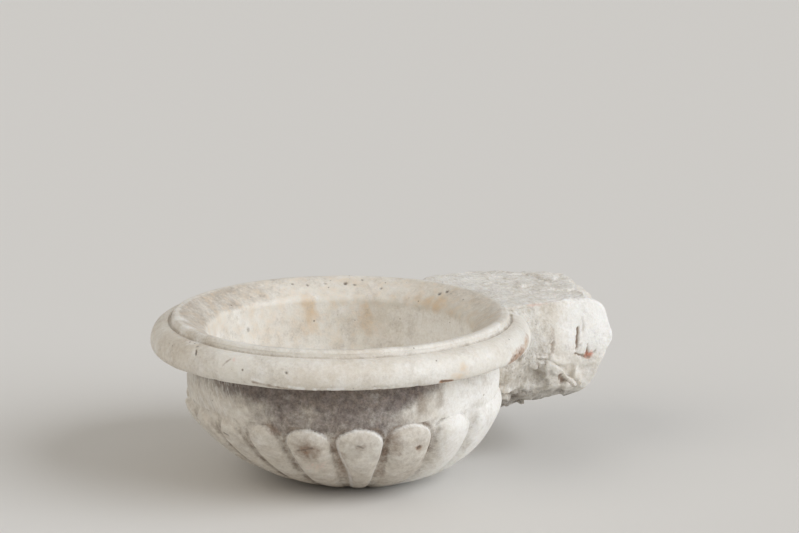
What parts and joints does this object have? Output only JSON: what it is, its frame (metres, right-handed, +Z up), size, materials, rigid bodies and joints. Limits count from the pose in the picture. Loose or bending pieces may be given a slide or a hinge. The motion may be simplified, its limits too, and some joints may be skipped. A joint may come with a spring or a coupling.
{
  "type": "holy water stoup",
  "caption": "Round marble stoup for holy water: a deep basin with an overhanging moulded rim, a plain neck, a lobed belly and a rough tenon that is built into a church wall.",
  "frame": {"origin": "on the axis of the round basin, in the plane of the flat base that it stands on", "axes": "+Z up along the basin's axis, +Y along the tenon into the wall, so the front of the basin faces -Y"},
  "size_m": [0.38, 0.4883, 0.169],
  "materials": {
    "worked_marble": "worn satin",
    "soiled_marble": "chiselled, soiled",
    "hewn_marble": "rough-hewn"
  },
  "bodies": {
    "root": {"rim": "worked_marble", "neck_band": "soiled_marble", "gadrooned_bowl": "worked_marble", "wall_tenon": "hewn_marble"}
  },
  "joints": []
}
